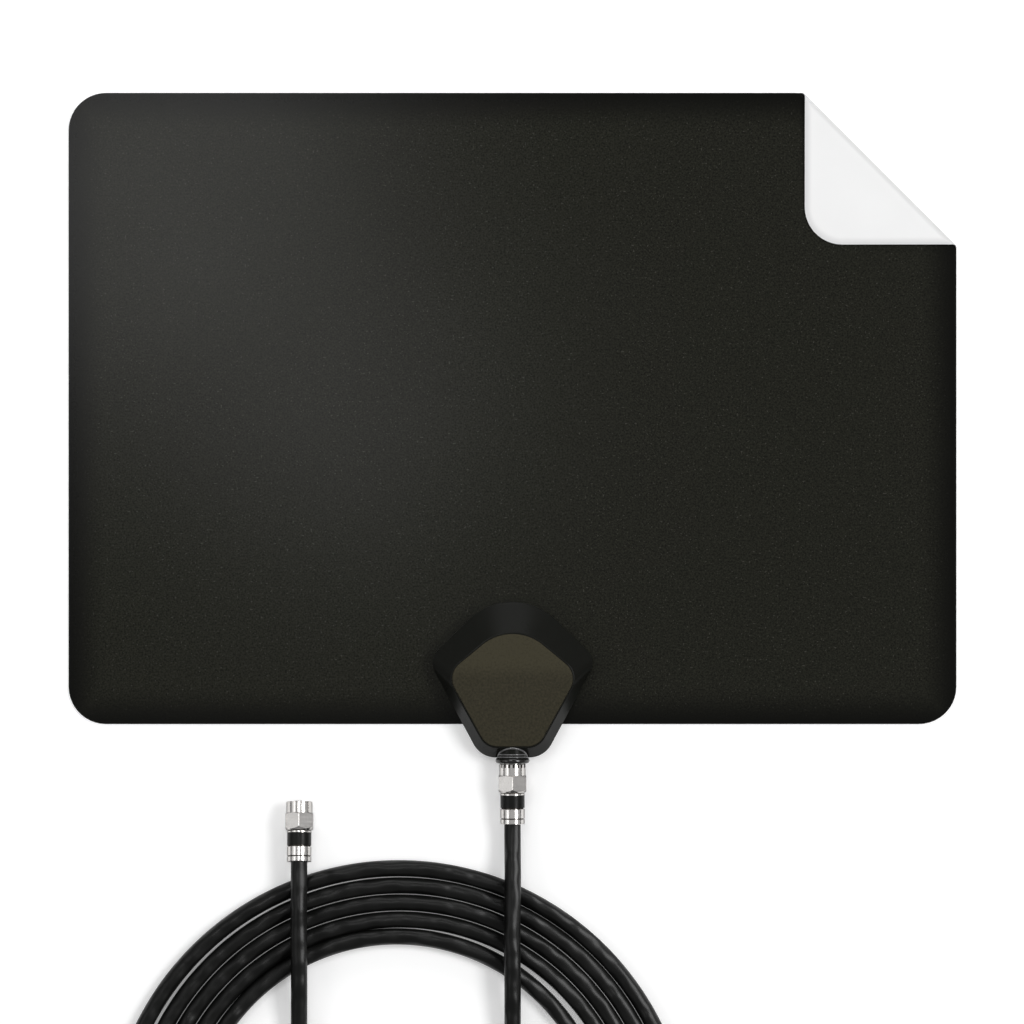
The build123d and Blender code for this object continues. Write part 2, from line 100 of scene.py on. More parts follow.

# Painted shade in the seams of a connector, each a start and an end behind the nut's front
SEAM_SHADES = ((0.0114, 0.0117), (0.0175, 0.0179), (0.0216, 0.0221))

# Notches of the lock washer at the port nut's front, painted as shade, and the level of a wave that
# marks them
WASHER_NOTCHES = 18
WASHER_DEPTH = 0.0015
NOTCH_LEVEL = 0.1

# Bars over the port's boss: place, lean back from upright and radius of the bar.
# The first follows the line where the boss leaves the bevel.
BOSS_RADIUS = 0.0057
BOSS_BARS = (
    ((0, -0.13904, 0.0072), math.radians(32.5), 0.0004),
    ((0, -0.1380, 0.0072), 0.0, 0.00025),
    ((0, -0.1390, 0.0072), 0.0, 0.00025),
)
BAR_SIDES = 10

# Thread in the free nut: radius at its root and its crest, and how far in its first turn starts
THREAD_ROOT = 0.00487
THREAD_CREST = 0.00442
THREAD_START = 0.0006

# Width of the thread at its root as a share of the pitch, and at its crest as a share of that
ROOT_SHARE = 0.9
CREST_SHARE = 0.2

# Steps in a wound bar and in each turn of the thread
WIND_STEPS = 48

# Cable from the connector on the port into the coil
LEAD_POINTS = [
    (0.0, -0.1613, 0.0072),
    (0.0, -0.1748, 0.0072),
    (0.0002, -0.190, 0.0113),
    (-0.0002, -0.210, 0.0120),
    (0.0001, -0.231, 0.0113),
    (0.0, -0.256, 0.0054),
    (0.0004, -0.282, 0.0033),
    (-0.003, -0.311, 0.0033),
    (-0.014, -0.338, 0.0033),
    (-0.034, -0.361, 0.0033),
]

# Cable from the end of the outermost turn, over the coil and up to the free connector
TAIL_POINTS = [
    (-0.0855, -0.4005, 0.0108),
    (-0.100, -0.387, 0.0118),
    (-0.1065, -0.368, 0.0122),
    (-0.104, -0.349, 0.0116),
    (-0.095, -0.325, 0.0056),
    (-0.0885, -0.300, 0.0033),
    (-0.0856, -0.275, 0.0033),
    (-0.0852, -0.250, 0.0052),
    (-0.0849, -0.226, 0.0111),
    (-0.0852, -0.207, 0.0116),
    (-0.085, -0.19017, 0.01071),
    (-0.085, -0.17631, 0.00876),
]

# Turns of the coil from the inside out: centre across, centre up, radius
COIL_TURNS = [
    (-0.0462, -0.2942, 0.0833),
    (-0.0449, -0.2968, 0.09265),
    (-0.0449, -0.2968, 0.09945),
    (-0.0449, -0.2968, 0.10625),
    (-0.0454, -0.2975, 0.1138),
]

# Angle at which each turn starts, and the part of it from which it eases into the next
TURN_START = math.radians(260)
EASE_START = 278 / 360

# Height of the cable's middle on the floor, and how far the outermost turn climbs and draws in
CABLE_REST = 0.0033
CLIMB = 0.0068
DRAW_IN = 0.002

# Part of the outermost turn where its climb starts, and the part that the climb takes
CLIMB_START = 0.70
CLIMB_SPAN = 0.18

# Floor: side, level just under the object, and the glow that makes it white to the eye
FLOOR_SIDE = 12
FLOOR_LEVEL = -0.0001
FLOOR_GLOW = 0.24

# Light of the room, each a height from 0 at the horizon to 1 overhead and a level
ROOM_LIGHT = ((0.0, 0.08), (0.12, 0.1), (0.3, 0.42), (0.6, 0.36), (0.86, 0.3), (0.97, 0.42))

# Softboxes: name, place, target, width and height. Without a target they face the picture's middle.
LAMPS = (
    ("key", (1.12, 0.14, 1.56), None, 1.1, 0.55),
    ("sheen", (-0.195, 0.143, 0.70), (-0.149, 0.099, 0), 0.2, 0.16),
    ("trail", (-0.093, 0.017, 0.70), (-0.071, 0.003, 0), 0.13, 0.13),
    ("side", (-0.88, -0.15, 0.90), None, 0.9, 0.4),
    ("low", (-1.04, -0.045, 0.57), None, 0.7, 0.26),
    ("far", (0.0, 1.3, 0.65), None, 0.9, 0.4),
    ("cable", (1.007, 0.256, 0.783), (-0.045, -0.235, 0), 1.6, 0.6),
)

# Width of the camera's sensor in millimetres
SENSOR_WIDTH = 36


class SheetSettings(bpy.types.PropertyGroup):
    """Looks of the two laminated films."""

    front_tone: FloatVectorProperty(
        name="Front tone",
        description="Colour of the black front film",
        subtype="COLOR",
        min=0,
        max=1,
        default=(0.0117, 0.0119, 0.0085),
    )
    back_tone: FloatVectorProperty(
        name="Back tone",
        description="Colour of the white back film",
        subtype="COLOR",
        min=0,
        max=1,
        default=(0.86, 0.86, 0.86),
    )
    fleck_tone: FloatVectorProperty(
        name="Fleck tone",
        description="Colour of the small pale flecks in the front film",
        subtype="COLOR",
        min=0,
        max=1,
        default=(0.036, 0.0352, 0.029),
    )
    grain_size: FloatProperty(
        name="Grain size",
        description="Size of the fine speckle pressed into the front film",
        subtype="DISTANCE",
        unit="LENGTH",
        min=0.0001,
        default=0.0007,
    )
    # Width of the band of painted shade along the sheet's edges
    margin: FloatProperty(
        name="Painted edge shade",
        description="Width of the painted shade band along the sheet's edges",
        subtype="DISTANCE",
        unit="LENGTH",
        min=0.001,
        default=0.016,
    )
    corner_radius: FloatProperty(
        name="Corner radius",
        description="Rounding of the sheet's corners",
        subtype="DISTANCE",
        unit="LENGTH",
        default=0.015,
    )
    flap_side: FloatProperty(
        name="Flap side",
        description="Length of the folded corner along the sheet's edges",
        subtype="DISTANCE",
        unit="LENGTH",
        default=0.0605,
    )
    # Width of the painted shade along the rim and crease of the folded corner
    flap_shade_width: FloatProperty(
        name="Flap shade",
        description="Width of the painted shade along the folded corner's rim and crease",
        subtype="DISTANCE",
        unit="LENGTH",
        default=0.003,
    )


class HousingSettings(bpy.types.PropertyGroup):
    """Looks of the housing and its face plate."""

    plastic_tone: FloatVectorProperty(
        name="Plastic tone",
        description="Colour of the glossy black covers",
        subtype="COLOR",
        min=0,
        max=1,
        default=(0.0064, 0.0067, 0.0054),
    )
    plate_tone: FloatVectorProperty(
        name="Face plate tone",
        description="Colour of the matte olive face plate",
        subtype="COLOR",
        min=0,
        max=1,
        default=(0.0294, 0.0261, 0.0156),
    )
    # Partly painted highlight: the rim and rings are glossy, and their pale tone adds painted
    # highlight to their arcs
    rim_tone: FloatVectorProperty(
        name="Boss rim tone",
        description="Pale colour of the glossy rim and rings on the port's boss, partly painted highlight",
        subtype="COLOR",
        min=0,
        max=1,
        default=(0.11, 0.11, 0.11),
    )
    plate_grain: FloatProperty(
        name="Face plate grain",
        description="Size of the matte plate's moulded grain",
        subtype="DISTANCE",
        unit="LENGTH",
        min=0.0001,
        default=0.0009,
    )


class ConnectorSettings(bpy.types.PropertyGroup):
    """Looks of the cable connectors and the thread in the free nut."""

    nickel_tone: FloatVectorProperty(
        name="Nickel tone",
        description="Colour of the plated metal",
        subtype="COLOR",
        min=0,
        max=1,
        default=(0.72, 0.70, 0.68),
    )
    # Painted shade in the seams and in the washer's notches
    seam_shade_tone: FloatVectorProperty(
        name="Seam shade",
        description="Painted shade in the narrow seams and the washer's notches",
        subtype="COLOR",
        min=0,
        max=1,
        default=(0.05, 0.045, 0.04),
    )
    band_tone: FloatVectorProperty(
        name="Band tone",
        description="Colour of the black ring round each body",
        subtype="COLOR",
        min=0,
        max=1,
        default=(0.0040, 0.0042, 0.0037),
    )
    thread_pitch: FloatProperty(
        name="Thread pitch",
        description="Rise of the nut's thread in one turn",
        subtype="DISTANCE",
        unit="LENGTH",
        precision=5,
        default=0.000794,
    )
    thread_turns: IntProperty(
        name="Thread turns",
        description="Turns of thread in the free nut",
        min=1,
        default=8,
    )


class CableSettings(bpy.types.PropertyGroup):
    """Size and looks of the coaxial cable."""

    diameter: FloatProperty(
        name="Diameter",
        description="Outside diameter of the jacket",
        subtype="DISTANCE",
        unit="LENGTH",
        precision=4,
        default=0.0066,
    )
    length: FloatProperty(
        name="Length",
        description="Real length of the cable",
        subtype="DISTANCE",
        unit="LENGTH",
        default=3.62,
    )
    turn_points: IntProperty(
        name="Points in a turn",
        description="Control points in each turn of the coil",
        min=12,
        default=30,
    )
    jacket_tone: FloatVectorProperty(
        name="Jacket tone",
        description="Colour of the black jacket",
        subtype="COLOR",
        min=0,
        max=1,
        default=(0.0030, 0.0031, 0.0029),
    )


class StageSettings(bpy.types.PropertyGroup):
    """Floor, camera and lamps."""

    floor_tone: FloatVectorProperty(
        name="Floor tone",
        description="Colour of the floor",
        subtype="COLOR",
        min=0,
        max=1,
        default=(0.88, 0.88, 0.88),
    )
    lens: FloatProperty(
        name="Lens",
        description="Focal length of the camera",
        subtype="DISTANCE_CAMERA",
        default=200.0,
    )
    frame_width: FloatProperty(
        name="Frame width",
        description="Width of the picture on the floor",
        subtype="DISTANCE",
        unit="LENGTH",
        default=0.4096,
    )
    frame_centre: FloatVectorProperty(
        name="Frame centre",
        description="Point of the floor in the middle of the picture",
        subtype="XYZ",
        size=2,
        default=(-0.0002, -0.0414),
    )
    key_power: FloatProperty(
        name="Key lamp",
        description="Power of the softbox on the right, which casts the shadows",
        subtype="POWER",
        default=17.6,
    )
    sheen_power: FloatProperty(
        name="Sheen lamp",
        description="Power of the lamp whose glow lies on the sheet's upper left",
        subtype="POWER",
        default=0.64,
    )
    trail_power: FloatProperty(
        name="Trail lamp",
        description="Power of the fainter lamp whose glow runs on towards the sheet's middle",
        subtype="POWER",
        default=0.24,
    )
    side_power: FloatProperty(
        name="Side lamp",
        description="Power of the softbox on the left, seen in the metal",
        subtype="POWER",
        default=1.5,
    )
    low_power: FloatProperty(
        name="Low lamp",
        description="Power of the faint low softbox on the left, seen in the flats of the nuts",
        subtype="POWER",
        default=0.28,
    )
    far_power: FloatProperty(
        name="Far lamp",
        description="Power of the low softbox behind the sheet, seen in the housing's bevel",
        subtype="POWER",
        default=4.8,
    )
    cable_power: FloatProperty(
        name="Cable lamp",
        description="Power of the broad softbox on the right that lights the cable alone",
        subtype="POWER",
        default=24.0,
    )


def start_finish(name, roughness, shine=0.5):
    """New node material, returned with its node tree and shader."""
    finish = bpy.data.materials.new(name)
    finish.use_nodes = True
    shader = finish.node_tree.nodes["Principled BSDF"]
    shader.inputs["Roughness"].default_value = roughness
    shader.inputs["Specular IOR Level"].default_value = shine
    return finish, finish.node_tree, shader


def link_math(tree, operation, first, second):
    """Math node on two values, each a socket or a number."""
    node = tree.nodes.new("ShaderNodeMath")
    node.operation = operation
    for place, value in zip(node.inputs, (first, second)):
        if isinstance(value, (int, float)):
            place.default_value = value
        else:
            tree.links.new(value, place)
    return node.outputs["Value"]


def ease_between(tree, value, start, end):
    """Smooth ramp from 0 at the start to 1 at the end."""
    ramp = tree.nodes.new("ShaderNodeMapRange")
    ramp.interpolation_type = "SMOOTHSTEP"
    ramp.inputs["From Min"].default_value = start
    ramp.inputs["From Max"].default_value = end
    tree.links.new(value, ramp.inputs["Value"])
    return ramp.outputs["Result"]


def spread_noise(tree, pattern, low=0.0, high=1.0):
    """Noise pattern spread between two values."""
    spread = tree.nodes.new("ShaderNodeMapRange")
    spread.inputs["From Min"].default_value = NOISE_LOW
    spread.inputs["From Max"].default_value = NOISE_HIGH
    spread.inputs["To Min"].default_value = low
    spread.inputs["To Max"].default_value = high
    tree.links.new(pattern, spread.inputs["Value"])
    return spread.outputs["Result"]


def grain(tree, size, detail=2.0, stretch=(1, 1, 1), turn=0.0):
    """Noise on the piece's own coordinates with cells of a given size, stretched or turned about X."""
    place = tree.nodes.new("ShaderNodeTexCoord")
    mapping = tree.nodes.new("ShaderNodeMapping")
    mapping.vector_type = "TEXTURE"
    mapping.inputs["Rotation"].default_value = (turn, 0, 0)
    mapping.inputs["Scale"].default_value = stretch
    noise = tree.nodes.new("ShaderNodeTexNoise")
    noise.inputs["Scale"].default_value = 1 / size
    noise.inputs["Detail"].default_value = detail
    tree.links.new(place.outputs["Object"], mapping.inputs["Vector"])
    tree.links.new(mapping.outputs["Vector"], noise.inputs["Vector"])
    return noise.outputs["Fac"]


def piece_axes(tree, origin=(0, 0, 0), turn=0.0):
    """Separate coordinates of the piece, measured from an origin and turned about X."""
    place = tree.nodes.new("ShaderNodeTexCoord")
    mapping = tree.nodes.new("ShaderNodeMapping")
    mapping.vector_type = "TEXTURE"
    mapping.inputs["Location"].default_value = origin
    mapping.inputs["Rotation"].default_value = (turn, 0, 0)
    split = tree.nodes.new("ShaderNodeSeparateXYZ")
    tree.links.new(place.outputs["Object"], mapping.inputs["Vector"])
    tree.links.new(mapping.outputs["Vector"], split.inputs["Vector"])
    return split.outputs


def vary_tone(tree, shader, pattern, tone, share):
    """Base colour that swings by a share of its tone along a pattern."""
    mix = tree.nodes.new("ShaderNodeMix")
    mix.data_type = "RGBA"
    mix.inputs["A"].default_value = (*[part * (1 - share) for part in tone], 1)
    mix.inputs["B"].default_value = (*[part * (1 + share) for part in tone], 1)
    tree.links.new(spread_noise(tree, pattern), mix.inputs["Factor"])
    tree.links.new(mix.outputs["Result"], shader.inputs["Base Color"])


def blend_tone(tree, shader, share, tone):
    """Base colour that turns to another tone by a share."""
    mix = tree.nodes.new("ShaderNodeMix")
    mix.data_type = "RGBA"
    mix.inputs["B"].default_value = (*tone, 1)
    tree.links.new(shader.inputs["Base Color"].links[0].from_socket, mix.inputs["A"])
    tree.links.new(share, mix.inputs["Factor"])
    tree.links.new(mix.outputs["Result"], shader.inputs["Base Color"])


def darken_margin(tree, shader, half_sides, margin, tone):
    """Base colour that falls to a darker tone near the outline of a rectangle about the origin."""
    axes = piece_axes(tree)
    bands = []
    for axis, half in enumerate(half_sides):
        distance = link_math(tree, "ABSOLUTE", axes[axis], 0)
        bands.append(ease_between(tree, distance, half - margin, half))
    blend_tone(tree, shader, link_math(tree, "MAXIMUM", *bands), tone)


def shade_flap(tree, shader, corner, radius, reach, margin, tone):
    """Base colour with painted shade at the free edges and the crease of the corner folded over the
    sheet.

    The corner is the flap's point, the radius its rounding and the reach its distance from the crease.
    """
    across, up, height = piece_axes(tree, (corner[0] + radius, corner[1] + radius, 0))
    outward = tree.nodes.new("ShaderNodeCombineXYZ")
    tree.links.new(link_math(tree, "MINIMUM", across, 0), outward.inputs["X"])
    tree.links.new(link_math(tree, "MINIMUM", up, 0), outward.inputs["Y"])
    distance = tree.nodes.new("ShaderNodeVectorMath")
    distance.operation = "LENGTH"
    tree.links.new(outward.outputs["Vector"], distance.inputs[0])
    rim = ease_between(tree, distance.outputs["Value"], radius - margin, radius)
    along = link_math(tree, "ADD", across, up)
    starts, full = [math.sqrt(2) * (reach - width) - 2 * radius for width in (margin, margin / 2)]
    crease = ease_between(tree, along, starts, full)
    edges = link_math(tree, "MAXIMUM", rim, crease)
    on_top = link_math(tree, "GREATER_THAN", height, FLAP_ABOVE)
    blend_tone(tree, shader, link_math(tree, "MULTIPLY", edges, on_top), tone)


def paint_seam_shade(tree, shader, origin, turn, seams, tone):
    """Base colour with painted shade in narrow seams, each a start and an end behind the nut's front.
    """
    distance = link_math(tree, "MULTIPLY", piece_axes(tree, origin, turn)[1], -1)
    share = None
    for start, end in seams:
        seam = link_math(tree, "COMPARE", distance, (start + end) / 2)
        seam.node.inputs[2].default_value = (end - start) / 2
        share = seam if share is None else link_math(tree, "ADD", share, seam)
    blend_tone(tree, shader, share, tone)


def paint_notch_shade(tree, shader, front, notches, depth, tone):
    """Base colour with painted shade in notches round a nut's front, whose axis runs along Y."""
    across, behind, up = piece_axes(tree, front)
    angle = link_math(tree, "ARCTAN2", across, up)
    wave = link_math(tree, "SINE", link_math(tree, "MULTIPLY", angle, notches), 0)
    notch = link_math(tree, "GREATER_THAN", wave, NOTCH_LEVEL)
    near = link_math(tree, "GREATER_THAN", behind, -depth)
    blend_tone(tree, shader, link_math(tree, "MULTIPLY", notch, near), tone)


def vary_gloss(tree, shader, pattern, low, high):
    """Roughness between two values along a pattern."""
    tree.links.new(spread_noise(tree, pattern, low, high), shader.inputs["Roughness"])


def dull_low_angles(tree, shader, extra):
    """Roughness that rises by an extra part towards a low angle, on top of its pattern."""
    facing = tree.nodes.new("ShaderNodeLayerWeight").outputs["Facing"]
    low = link_math(tree, "MULTIPLY", ease_between(tree, facing, DULL_START, DULL_FULL), extra)
    pattern = shader.inputs["Roughness"].links[0].from_socket
    tree.links.new(link_math(tree, "ADD", pattern, low), shader.inputs["Roughness"])


def raise_grain(tree, shader, pattern, strength, depth):
    """Bump of a given depth along a pattern, on top of any bump that is there."""
    bump = tree.nodes.new("ShaderNodeBump")
    bump.inputs["Strength"].default_value = strength
    bump.inputs["Distance"].default_value = depth
    tree.links.new(pattern, bump.inputs["Height"])
    for link in shader.inputs["Normal"].links:
        tree.links.new(link.from_socket, bump.inputs["Normal"])
    tree.links.new(bump.outputs["Normal"], shader.inputs["Normal"])


def dress(finish, *nodes):
    """Gives a finish to CAD nodes."""
    for node in nodes:
        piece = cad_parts[node]
        if not piece.material_slots:
            piece.data.materials.append(finish)
        for place in piece.material_slots:
            place.material = finish


def plastic_finish(name, tone, gloss, grain_size, depth, shine=0.5):
    """Moulded plastic with a fine grain and a soft unevenness."""
    finish, tree, shader = start_finish(name, gloss, shine)
    fine = grain(tree, grain_size)
    broad = grain(tree, size=0.012)
    vary_tone(tree, shader, fine, tone, share=0.12)
    vary_gloss(tree, shader, broad, low=gloss * 0.85, high=gloss * 1.2)
    raise_grain(tree, shader, fine, strength=0.5, depth=depth)
    return finish


def turned_metal(name, tone, gloss, turn=0.0):
    """Plated metal with fine rings left by turning, about an axis leaning from Y."""
    finish, tree, shader = start_finish(name, gloss)
    shader.inputs["Metallic"].default_value = 1.0
    shader.inputs["Specular Tint"].default_value = METAL_EDGE_TINT
    rings = grain(tree, size=0.0003, detail=3.0, stretch=RING_STRETCH, turn=turn)
    cloud = grain(tree, size=0.004)
    vary_tone(tree, shader, cloud, tone, share=0.06)
    vary_gloss(tree, shader, rings, low=gloss * 0.7, high=gloss * 1.5)
    raise_grain(tree, shader, rings, strength=0.25, depth=0.00003)
    return finish


def black_film_finish(sheet):
    """Black film with a pressed speckle, small pale flecks and painted shade along its margin."""
    lowest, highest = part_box("front_film")
    half_sides = [(highest[axis] - lowest[axis]) / 2 for axis in (0, 1)]
    margin_shade_tone = [part * MARGIN_SHADE_SHARE for part in sheet.front_tone]
    finish, tree, shader = start_finish("black_film", roughness=0.24, shine=0.1)
    speckle = grain(tree, sheet.grain_size, detail=3.0)
    cloud = grain(tree, size=0.05)
    flecks = ease_between(tree, grain(tree, FLECK_SIZE, detail=0.0), FLECK_START, FLECK_FULL)
    vary_tone(tree, shader, speckle, sheet.front_tone, share=0.6)
    blend_tone(tree, shader, flecks, sheet.fleck_tone)
    # Painted shade: the tone darkens along the sheet's edges
    darken_margin(tree, shader, half_sides, sheet.margin, margin_shade_tone)
    vary_gloss(tree, shader, cloud, low=0.23, high=0.25)
    dull_low_angles(tree, shader, extra=0.4)
    raise_grain(tree, shader, speckle, strength=0.2, depth=0.00008)
    return finish


def white_film_finish(sheet):
    """White film with painted shade on the rim and crease of its folded corner."""
    corner = [top - sheet.flap_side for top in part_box("back_film")[1][:2]]
    reach = sheet.flap_side / math.sqrt(2)
    rim_tone = [part * FLAP_SHADE_SHARE for part in sheet.back_tone]
    finish, tree, shader = start_finish("white_film", roughness=0.32)
    speckle = grain(tree, size=0.0015)
    cloud = grain(tree, size=0.03)
    vary_tone(tree, shader, cloud, sheet.back_tone, share=0.01)
    # Painted shade on the flap's rim and crease
    shade_flap(tree, shader, corner, sheet.corner_radius, reach, sheet.flap_shade_width, rim_tone)
    vary_gloss(tree, shader, cloud, low=0.28, high=0.36)
    raise_grain(tree, shader, speckle, strength=0.15, depth=0.00005)
    return finish


def face_plate_finish(housing):
    """Matte plastic with a moulded grain and painted light that makes it paler towards the plate's
    tip.
    """
    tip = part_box("face_plate")[1][1]
    finish, tree, shader = start_finish("face_plate_plastic", roughness=0.6, shine=0.1)
    fine = grain(tree, housing.plate_grain, detail=3.0)
    cloud = grain(tree, size=0.015)
    # Painted light: the tone lifts towards the plate's tip
    pale = ease_between(tree, piece_axes(tree)[1], tip - PAINTED_LIGHT_START, tip - PAINTED_LIGHT_FULL)
    pattern = link_math(tree, "MULTIPLY", fine, PLATE_GRAIN_SHARE)
    pattern = link_math(tree, "ADD", pattern, PLATE_BASE)
    pattern = link_math(tree, "ADD", pattern, link_math(tree, "MULTIPLY", pale, PAINTED_LIGHT_LIFT))
    vary_tone(tree, shader, pattern, housing.plate_tone, share=0.45)
    vary_gloss(tree, shader, cloud, low=0.52, high=0.62)
    raise_grain(tree, shader, fine, strength=0.3, depth=0.0001)
    return finish


def band_finish(name, tone, turn):
    """Black plastic with fine rings about an axis leaning from Y."""
    finish, tree, shader = start_finish(name, roughness=0.34, shine=0.16)
    rings = grain(tree, size=0.0004, stretch=RING_STRETCH, turn=turn)
    vary_tone(tree, shader, rings, tone, share=0.2)
    vary_gloss(tree, shader, rings, low=0.28, high=0.42)
    raise_grain(tree, shader, rings, strength=0.3, depth=0.00003)
    return finish


def jacket_finish(tone):
    """Black jacket with a fine grain over a soft ripple."""
    finish, tree, shader = start_finish("cable_jacket", roughness=0.36, shine=0.19)
    fine = grain(tree, size=0.0006)
    ripple = grain(tree, size=0.007, detail=0.0)
    cloud = grain(tree, size=0.03)
    vary_tone(tree, shader, fine, tone, share=0.15)
    vary_gloss(tree, shader, cloud, low=0.33, high=0.39)
    raise_grain(tree, shader, ripple, strength=0.9, depth=0.0017)
    raise_grain(tree, shader, fine, strength=0.2, depth=0.00003)
    return finish


class ANTENNA_OT_dress_sheet(bpy.types.Operator):
    """Give the films, the foil between them and the adhesive their finishes"""

    bl_idname = "antenna.dress_sheet"
    bl_label = "Dress sheet"

    def execute(self, context):
        sheet = context.scene.antenna_sheet
        dress(black_film_finish(sheet), "front_film")
        dress(white_film_finish(sheet), "back_film")
        foil = turned_metal("foil", tone=(0.80, 0.80, 0.81), gloss=0.3)
        dress(foil, "left_element", "right_element")
        adhesive = plastic_finish(
            "adhesive",
            tone=(0.55, 0.55, 0.52),
            gloss=0.6,
            grain_size=0.001,
            depth=0.00005,
        )
        dress(adhesive, "adhesive_pad")
        return {"FINISHED"}


class ANTENNA_OT_dress_housing(bpy.types.Operator):
    """Give the covers, the face plate, the collar and the screws their finishes"""

    bl_idname = "antenna.dress_housing"
    bl_label = "Dress housing"

    def execute(self, context):
        housing = context.scene.antenna_housing
        cover = plastic_finish(
            "housing_plastic",
            housing.plastic_tone,
            gloss=0.3,
            grain_size=0.0005,
            depth=0.00001,
            shine=0.1,
        )
        dress(cover, "front_cover", "rear_cover")
        collar = plastic_finish(
            "collar_plastic",
            housing.plastic_tone,
            gloss=0.15,
            grain_size=0.0005,
            depth=0.000005,
        )
        dress(collar, "port_collar")
        dress(face_plate_finish(housing), "face_plate")
        dress(turned_metal("screw_steel", tone=(0.42, 0.42, 0.43), gloss=0.3), "cover_screws")
        return {"FINISHED"}


class ANTENNA_OT_dress_board(bpy.types.Operator):
    """Give the circuit board, the balun and the contacts their finishes"""

    bl_idname = "antenna.dress_board"
    bl_label = "Dress circuit board"

    def execute(self, context):
        laminate = plastic_finish(
            "board_laminate",
            tone=(0.02, 0.11, 0.035),
            gloss=0.35,
            grain_size=0.0006,
            depth=0.00002,
        )
        dress(laminate, "circuit_board")
        ferrite = plastic_finish(
            "ferrite",
            tone=(0.03, 0.03, 0.032),
            gloss=0.5,
            grain_size=0.0004,
            depth=0.00004,
        )
        dress(ferrite, "balun_core")
        dress(turned_metal("copper_wire", tone=(0.72, 0.30, 0.14), gloss=0.3), "balun_winding")
        spring = turned_metal("contact_spring", tone=(0.76, 0.68, 0.45), gloss=0.28)
        dress(spring, "left_feed_contact", "right_feed_contact", "port_contact")
        insulator = plastic_finish(
            "white_insulator",
            tone=(0.78, 0.78, 0.75),
            gloss=0.5,
            grain_size=0.0008,
            depth=0.00003,
        )
        dress(insulator, "port_insulator")
        return {"FINISHED"}


class ANTENNA_OT_dress_connectors(bpy.types.Operator):
    """Give both cable connectors and the port's barrel their finishes"""

    bl_idname = "antenna.dress_connectors"
    bl_label = "Dress connectors"

    def execute(self, context):
        looks = context.scene.antenna_connectors
        foam = plastic_finish(
            "dielectric_foam",
            tone=(0.80, 0.80, 0.78),
            gloss=0.55,
            grain_size=0.0005,
            depth=0.00003,
        )
        copper = turned_metal("copper_tip", tone=(0.78, 0.38, 0.20), gloss=0.28, turn=-FREE_TILT)
        for end, front, turn in CONNECTORS:
            nickel = turned_metal(f"{end}_nickel", looks.nickel_tone, gloss=0.17, turn=turn)
            tree = nickel.node_tree
            shader = tree.nodes["Principled BSDF"]
            # Painted shade in the seams
            paint_seam_shade(tree, shader, front, turn, SEAM_SHADES, looks.seam_shade_tone)
            if end == "antenna_end":
                # Painted shade in the lock washer's notches
                paint_notch_shade(tree, shader, front, WASHER_NOTCHES, WASHER_DEPTH, looks.seam_shade_tone)
            dress(nickel, *[f"{end}_{piece}" for piece in CONNECTOR_METAL])
            dress(band_finish(f"{end}_band_plastic", looks.band_tone, turn), f"{end}_band")
            dress(foam, f"{end}_dielectric")
            dress(copper, f"{end}_conductor")
        dress(turned_metal("port_nickel", looks.nickel_tone, gloss=0.22), "port_barrel")
        return {"FINISHED"}


def wind_profile(piece, **settings):
    """Winds a profile about Z with a Screw modifier, which is applied."""
    wind = piece.modifiers.new("wind", "SCREW")
    wind.axis = "Z"
    wind.steps = WIND_STEPS
    wind.render_steps = WIND_STEPS
    for name, value in settings.items():
        setattr(wind, name, value)
    bpy.ops.object.modifier_apply(modifier=wind.name)


def wind_bar(radius, thickness, place, lean):
    """Round bar wound over the upper half of a cylinder along Y, leaning back from upright."""
    bpy.ops.object.select_all(action="DESELECT")
    bpy.ops.mesh.primitive_circle_add(
        vertices=BAR_SIDES,
        radius=thickness,
        location=(radius, 0, 0),
        rotation=(math.radians(90), 0, 0),
    )
    bar = bpy.context.object
    bpy.ops.object.transform_apply()
    wind_profile(bar, angle=math.radians(180))
    bar.scale = (1, 1 / math.cos(lean), 1)
    bar.rotation_euler = (math.radians(90) - lean, 0, 0)
    bar.location = place
    bpy.ops.object.transform_apply()
    return bar


class ANTENNA_OT_trim_port(bpy.types.Operator):
    """Lay the polished rim and the two rings over the port's boss"""

    bl_idname = "antenna.trim_port"
    bl_label = "Trim port"

    def execute(self, context):
        housing = context.scene.antenna_housing
        bars = [wind_bar(BOSS_RADIUS, thickness, place, lean) for place, lean, thickness in BOSS_BARS]
        for bar in bars:
            bar.select_set(True)
        bpy.ops.object.join()
        trim = context.object
        trim.name = "port_trim"

        # The ends of the bars are open after winding
        bpy.ops.object.mode_set(mode="EDIT")
        bpy.ops.mesh.select_all(action="SELECT")
        bpy.ops.mesh.fill_holes(sides=0)
        bpy.ops.mesh.normals_make_consistent(inside=False)
        bpy.ops.object.mode_set(mode="OBJECT")
        bpy.ops.object.shade_smooth_by_angle(angle=math.radians(45))

        # Glossy rim whose pale tone is partly painted highlight on the arcs over the boss
        rim = plastic_finish(
            "rim_plastic",
            housing.rim_tone,
            gloss=0.12,
            grain_size=0.0004,
            depth=0.000003,
            shine=1.0,
        )
        trim.data.materials.append(rim)
        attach(trim, "antenna")
        return {"FINISHED"}


